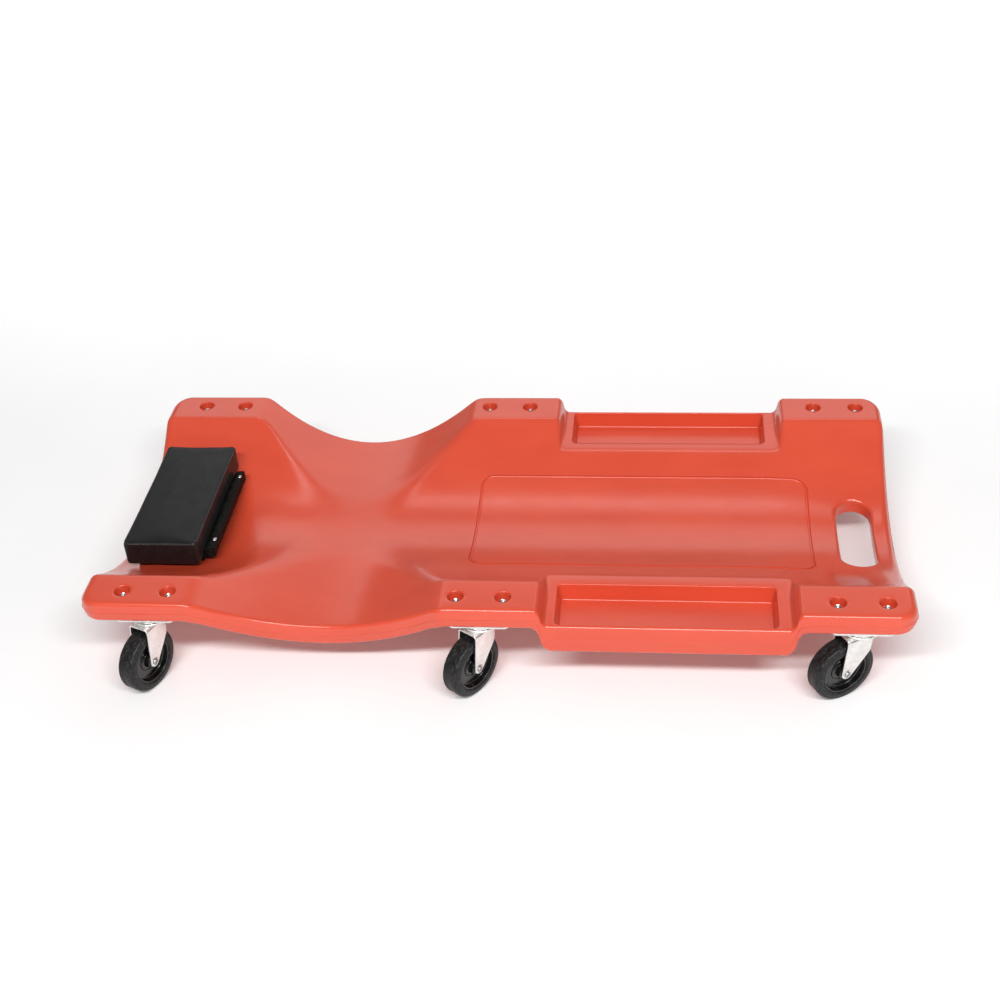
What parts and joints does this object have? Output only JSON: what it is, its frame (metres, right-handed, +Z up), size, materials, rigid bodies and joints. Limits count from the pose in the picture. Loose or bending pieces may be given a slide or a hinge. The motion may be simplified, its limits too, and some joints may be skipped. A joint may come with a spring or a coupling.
{
  "type": "mechanics creeper",
  "caption": "Low rolling board of moulded plastic for working under a vehicle, dished to hold the back, with side trays, an end handle slot, a padded headrest and swivel casters.",
  "frame": {"origin": "on the floor, under the middle of the deck", "axes": "+X along the deck towards the end with the handle slot, -X towards the headrest; +Y to the left of a person lying face up; +Z up"},
  "size_m": [1.02, 0.5478, 0.133],
  "materials": {
    "red_plastic": "satin blow-moulded polyethylene, fine grain",
    "black_vinyl": "matte vinyl-coated cloth over foam",
    "black_plastic": "matte",
    "zinc": "zinc-plated pressed steel",
    "bright_steel": "bright zinc",
    "hub_plastic": "gloss",
    "rubber": "matte moulded rubber"
  },
  "bodies": {
    "deck": {"deck": "red_plastic", "headrest_cushion": "black_vinyl", "headrest_base": "black_plastic", "headrest_screw_left": "bright_steel", "headrest_screw_right": "bright_steel", "bolt_head_right_a": "bright_steel", "bolt_head_right_b": "bright_steel", "bolt_head_left_a": "bright_steel", "bolt_head_left_b": "bright_steel", "bolt_mid_right_a": "bright_steel", "bolt_mid_right_b": "bright_steel", "bolt_mid_left_a": "bright_steel", "bolt_mid_left_b": "bright_steel", "bolt_foot_right_a": "bright_steel", "bolt_foot_right_b": "bright_steel", "bolt_foot_left_a": "bright_steel", "bolt_foot_left_b": "bright_steel", "nut_head_right_a": "bright_steel", "nut_head_right_b": "bright_steel", "nut_head_left_a": "bright_steel", "nut_head_left_b": "bright_steel", "nut_mid_right_a": "bright_steel", "nut_mid_right_b": "bright_steel", "nut_mid_left_a": "bright_steel", "nut_mid_left_b": "bright_steel", "nut_foot_right_a": "bright_steel", "nut_foot_right_b": "bright_steel", "nut_foot_left_a": "bright_steel", "nut_foot_left_b": "bright_steel", "plate_head_right": "zinc", "plate_head_left": "zinc", "plate_mid_right": "zinc", "plate_mid_left": "zinc", "plate_foot_right": "zinc", "plate_foot_left": "zinc"},
    "caster_head_right": {"fork_head_right": "zinc", "axle_head_right": "bright_steel"},
    "wheel_head_right": {"hub_head_right": "hub_plastic", "tyre_head_right": "rubber"},
    "caster_head_left": {"fork_head_left": "zinc", "axle_head_left": "bright_steel"},
    "wheel_head_left": {"hub_head_left": "hub_plastic", "tyre_head_left": "rubber"},
    "caster_mid_right": {"fork_mid_right": "zinc", "axle_mid_right": "bright_steel"},
    "wheel_mid_right": {"hub_mid_right": "hub_plastic", "tyre_mid_right": "rubber"},
    "caster_mid_left": {"fork_mid_left": "zinc", "axle_mid_left": "bright_steel"},
    "wheel_mid_left": {"hub_mid_left": "hub_plastic", "tyre_mid_left": "rubber"},
    "caster_foot_right": {"fork_foot_right": "zinc", "axle_foot_right": "bright_steel"},
    "wheel_foot_right": {"hub_foot_right": "hub_plastic", "tyre_foot_right": "rubber"},
    "caster_foot_left": {"fork_foot_left": "zinc", "axle_foot_left": "bright_steel"},
    "wheel_foot_left": {"hub_foot_left": "hub_plastic", "tyre_foot_left": "rubber"}
  },
  "joints": [
    {"name": "swivel_head_right", "type": "hinge", "parent": "deck", "child": "caster_head_right", "pos_m": [-0.427, -0.211, 0.096], "axis": [0, 0, 1], "continuous": true},
    {"name": "spin_head_right", "type": "hinge", "parent": "caster_head_right", "child": "wheel_head_right", "pos_m": [-0.43669, -0.23296, 0.041], "axis": [0.915, -0.4035, 0], "continuous": true},
    {"name": "swivel_head_left", "type": "hinge", "parent": "deck", "child": "caster_head_left", "pos_m": [-0.427, 0.211, 0.096], "axis": [0, 0, 1], "continuous": true},
    {"name": "spin_head_left", "type": "hinge", "parent": "caster_head_left", "child": "wheel_head_left", "pos_m": [-0.43669, 0.23296, 0.041], "axis": [-0.915, -0.4035, 0], "continuous": true},
    {"name": "swivel_mid_right", "type": "hinge", "parent": "deck", "child": "caster_mid_right", "pos_m": [-0.01, -0.211, 0.096], "axis": [0, 0, 1], "continuous": true},
    {"name": "spin_mid_right", "type": "hinge", "parent": "caster_mid_right", "child": "wheel_mid_right", "pos_m": [-0.02404, -0.23047, 0.041], "axis": [0.8111, -0.585, 0], "continuous": true},
    {"name": "swivel_mid_left", "type": "hinge", "parent": "deck", "child": "caster_mid_left", "pos_m": [-0.01, 0.211, 0.096], "axis": [0, 0, 1], "continuous": true},
    {"name": "spin_mid_left", "type": "hinge", "parent": "caster_mid_left", "child": "wheel_mid_left", "pos_m": [-0.02404, 0.23047, 0.041], "axis": [-0.8111, -0.585, 0], "continuous": true},
    {"name": "swivel_foot_right", "type": "hinge", "parent": "deck", "child": "caster_foot_right", "pos_m": [0.445, -0.211, 0.096], "axis": [0, 0, 1], "continuous": true},
    {"name": "spin_foot_right", "type": "hinge", "parent": "caster_foot_right", "child": "wheel_foot_right", "pos_m": [0.42405, -0.22271, 0.041], "axis": [0.4879, -0.8729, 0], "continuous": true},
    {"name": "swivel_foot_left", "type": "hinge", "parent": "deck", "child": "caster_foot_left", "pos_m": [0.445, 0.211, 0.096], "axis": [0, 0, 1], "continuous": true},
    {"name": "spin_foot_left", "type": "hinge", "parent": "caster_foot_left", "child": "wheel_foot_left", "pos_m": [0.42405, 0.22271, 0.041], "axis": [-0.4879, -0.8729, 0], "continuous": true}
  ]
}
